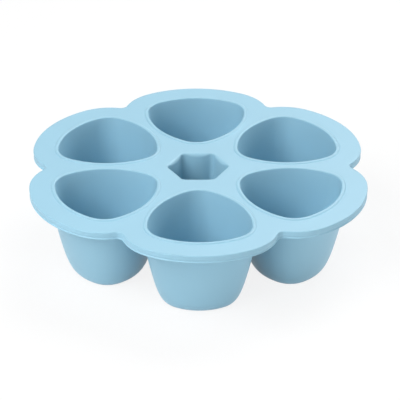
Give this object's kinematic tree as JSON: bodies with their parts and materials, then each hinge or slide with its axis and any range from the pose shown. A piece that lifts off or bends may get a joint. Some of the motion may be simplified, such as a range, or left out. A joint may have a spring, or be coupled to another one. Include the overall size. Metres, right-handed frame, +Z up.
{
  "type": "baby food freezer tray",
  "caption": "Flower-shaped soft silicone freezer tray: round-cornered cups for portions of baby food, with soft floors that press up to push a portion out.",
  "frame": {"origin": "on the tray's vertical centre line, in the flat plane that its cups stand on", "axes": "+Z up along the centre line; -Y towards the front cup; +X to the right as seen from the front"},
  "size_m": [0.1998, 0.2118, 0.052],
  "materials": {
    "silicone": "matt"
  },
  "bodies": {
    "tray": {"deck": "silicone", "centre_well": "silicone", "front_cup_wall": "silicone", "front_cup_heel": "silicone", "front_mouth_lip": "silicone", "front_right_cup_wall": "silicone", "front_right_cup_heel": "silicone", "front_right_mouth_lip": "silicone", "back_right_cup_wall": "silicone", "back_right_cup_heel": "silicone", "back_right_mouth_lip": "silicone", "back_cup_wall": "silicone", "back_cup_heel": "silicone", "back_mouth_lip": "silicone", "back_left_cup_wall": "silicone", "back_left_cup_heel": "silicone", "back_left_mouth_lip": "silicone", "front_left_cup_wall": "silicone", "front_left_cup_heel": "silicone", "front_left_mouth_lip": "silicone"},
    "front_pad": {"front_thumb_pad": "silicone"},
    "front_right_pad": {"front_right_thumb_pad": "silicone"},
    "back_right_pad": {"back_right_thumb_pad": "silicone"},
    "back_pad": {"back_thumb_pad": "silicone"},
    "back_left_pad": {"back_left_thumb_pad": "silicone"},
    "front_left_pad": {"front_left_thumb_pad": "silicone"}
  },
  "joints": [
    {"name": "front_pad_press", "type": "slide", "parent": "tray", "child": "front_pad", "axis": [0, 0, 1], "range_m": [0, 0.012], "stiffness_N_per_m": 300},
    {"name": "front_right_pad_press", "type": "slide", "parent": "tray", "child": "front_right_pad", "axis": [0, 0, 1], "range_m": [0, 0.012], "stiffness_N_per_m": 300},
    {"name": "back_right_pad_press", "type": "slide", "parent": "tray", "child": "back_right_pad", "axis": [0, 0, 1], "range_m": [0, 0.012], "stiffness_N_per_m": 300},
    {"name": "back_pad_press", "type": "slide", "parent": "tray", "child": "back_pad", "axis": [0, 0, 1], "range_m": [0, 0.012], "stiffness_N_per_m": 300},
    {"name": "back_left_pad_press", "type": "slide", "parent": "tray", "child": "back_left_pad", "axis": [0, 0, 1], "range_m": [0, 0.012], "stiffness_N_per_m": 300},
    {"name": "front_left_pad_press", "type": "slide", "parent": "tray", "child": "front_left_pad", "axis": [0, 0, 1], "range_m": [0, 0.012], "stiffness_N_per_m": 300}
  ]
}
